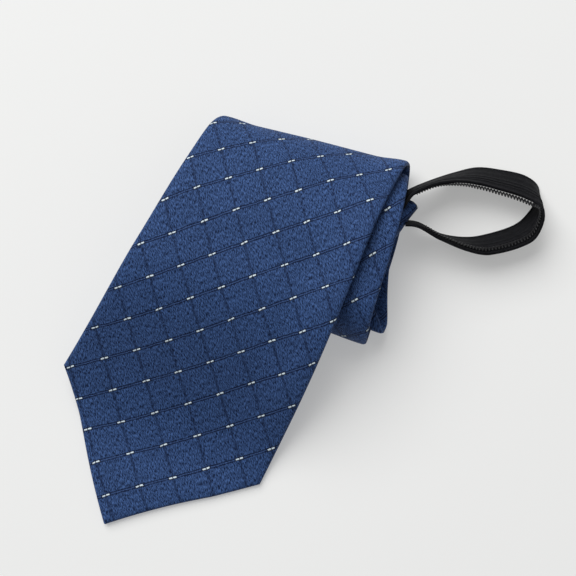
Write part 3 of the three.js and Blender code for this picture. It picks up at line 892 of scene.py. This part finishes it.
def tape_cloth():
    n = Nodes("tape_cloth")
    weave, along, across = n.weave()
    ribs = n.math("SINE", n.math("MULTIPLY", across, 2 * math.pi / RIB_PITCH))
    wave = n.math("MULTIPLY", ribs, TWILL_WAVE)
    twill = n.math("SINE", n.math("MULTIPLY_ADD", along, 2 * math.pi / TWILL_PITCH, wave))
    fibre = n.noise(n.scaled(weave, FIBRE_SCALE), 1.0, 3.0, 0.6)
    height = n.math("MULTIPLY_ADD", ribs, 0.5, n.math("MULTIPLY", twill, 0.25))
    tone = n.step(n.math("MULTIPLY_ADD", height, 0.25, fibre), 0.3, 0.8)
    colour = n.blend(tone, srgb(5, 5, 7), srgb(23, 24, 29))
    seam = n.band(n.math("ABSOLUTE", n.math("SUBTRACT", across, SEAM_PLACE)), SEAM_EDGE)
    n.bump(height, 0.5, 0.0001)
    n.surface({
        "Base Color": n.blend(n.math("MULTIPLY", seam, 0.5), colour, srgb(10, 10, 11)),
        "Roughness": n.step(fibre, 0.2, 0.8, 0.82, 0.6),
        "Sheen Weight": 0.02,
        "Sheen Roughness": 0.5,
        "Specular IOR Level": 0.12,
    })
    return n.material


CLOUDS_PER_METRE = 900.0
SCRATCHES_PER_METRE = 4200.0


def nylon(name, dark, light, roughness):
    n = Nodes(name)
    place = n.add("ShaderNodeTexCoord").outputs["Object"]
    cloud = n.noise(place, CLOUDS_PER_METRE, 2.0)
    n.bump(n.noise(place, SCRATCHES_PER_METRE, 2.0), 0.2, 0.00003)
    n.surface({
        "Base Color": n.blend(cloud, dark, light),
        "Roughness": n.step(cloud, 0.2, 0.8, roughness - 0.06, roughness + 0.1),
    })
    return n.material


def finish_piece(piece, material, slot, *nodes):
    piece.data.materials.append(material)
    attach(piece, "root")
    if nodes:
        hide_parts(*nodes)
    return piece


cloth = tie_cloth()
tape_look = tape_cloth()
coil_look = nylon("coil_nylon", srgb(13, 13, 15), srgb(26, 26, 29), 0.36)
thread_look = nylon("black_thread", srgb(20, 20, 22), srgb(38, 38, 42), 0.7)
blue_thread = nylon("blue_thread", srgb(24, 36, 70), srgb(46, 62, 102), 0.6)

blade = finish_piece(blade_piece(), cloth, "tie_cloth", "blade")
knot = finish_piece(knot_piece(), cloth, "knot_cloth", "knot")
tape = finish_piece(tape_piece(), tape_look, "tape_cloth", "zip_tape")
coil = finish_piece(coil_piece(), coil_look, "coil_nylon", "zip_coil")
stitching = finish_piece(stitch_piece(), thread_look, "tape_cloth")
slip = finish_piece(slip_stitches(), blue_thread, "tie_cloth")


# The floor, the light and the camera. The photo's right and up are turned in the row frame
VIEW_TURN = math.radians(29.4)
RIGHT = Vector((math.cos(VIEW_TURN), math.sin(VIEW_TURN), 0))
UP = Vector((-math.sin(VIEW_TURN), math.cos(VIEW_TURN), 0))
TARGET = Vector((-6.12, 12.68, 0)) * MM
DISTANCE = 0.42
TILT = math.radians(8.0)
SWING = math.radians(20.0)
LENS = 74.8
SENSOR = 36.0
FLOOR_SIZE = 8.0
FLOOR_DROP = 0.0001
FLOOR_DARK = (0.60, 0.60, 0.59, 1)
FLOOR_LIGHT = (0.62, 0.62, 0.61, 1)
FLOOR_GLOW = 0.32
KEY_PLACE = (-0.6, 1.15, 1.5)  # right, up and height
KEY_SIZE = 1.8
KEY_POWER = 42.0
WORLD_COLOUR = (0.95, 0.97, 1.0, 1)
WORLD_STRENGTH = 0.22


def add_floor():
    bpy.ops.mesh.primitive_grid_add(x_subdivisions=8, y_subdivisions=8, size=FLOOR_SIZE)
    floor = bpy.context.object
    floor.name = "floor"
    floor.location = (0, 0, -FLOOR_DROP)
    n = Nodes("floor_paper")
    place = n.add("ShaderNodeTexCoord").outputs["Object"]
    n.surface({
        "Base Color": n.blend(n.noise(place, 3.0, 2.0), FLOOR_DARK, FLOOR_LIGHT),
        "Roughness": 0.9,
        "Emission Color": (1.0, 1.0, 0.99, 1.0),
        "Emission Strength": FLOOR_GLOW,
        "Specular IOR Level": 0.1,
    })
    floor.data.materials.append(n.material)


def add_key_light():
    light = bpy.data.lights.new("key", "AREA")
    light.size = KEY_SIZE
    light.energy = KEY_POWER
    lamp = bpy.data.objects.new("key", light)
    right, up, height = KEY_PLACE
    lamp.location = TARGET + RIGHT * right + UP * up + Vector((0, 0, height))
    lamp.rotation_mode = "QUATERNION"
    lamp.rotation_quaternion = (TARGET - lamp.location).to_track_quat("-Z", "Y")
    bpy.context.scene.collection.objects.link(lamp)


def add_world():
    world = bpy.data.worlds.new("studio")
    world.use_nodes = True
    background = world.node_tree.nodes["Background"]
    background.inputs[0].default_value = WORLD_COLOUR
    background.inputs[1].default_value = WORLD_STRENGTH
    bpy.context.scene.world = world
    bpy.context.scene.view_settings.view_transform = "Standard"


def add_camera():
    camera = bpy.data.cameras.new("camera")
    camera.lens = LENS
    camera.sensor_width = SENSOR
    camera.clip_start = 0.01
    camera.clip_end = 20.0
    eye = bpy.data.objects.new("camera", camera)
    back = RIGHT * (math.sin(SWING) * math.sin(TILT)) - UP * (math.cos(SWING) * math.sin(TILT))
    back = back + Vector((0, 0, math.cos(TILT)))
    ahead = -back
    side = ahead.cross(UP).normalized()
    top = side.cross(ahead)
    turn = Matrix((side, top, back)).transposed().to_4x4()
    eye.matrix_world = Matrix.Translation(TARGET + back * DISTANCE) @ turn
    bpy.context.scene.collection.objects.link(eye)
    bpy.context.scene.camera = eye


add_floor()
add_key_light()
add_world()
add_camera()
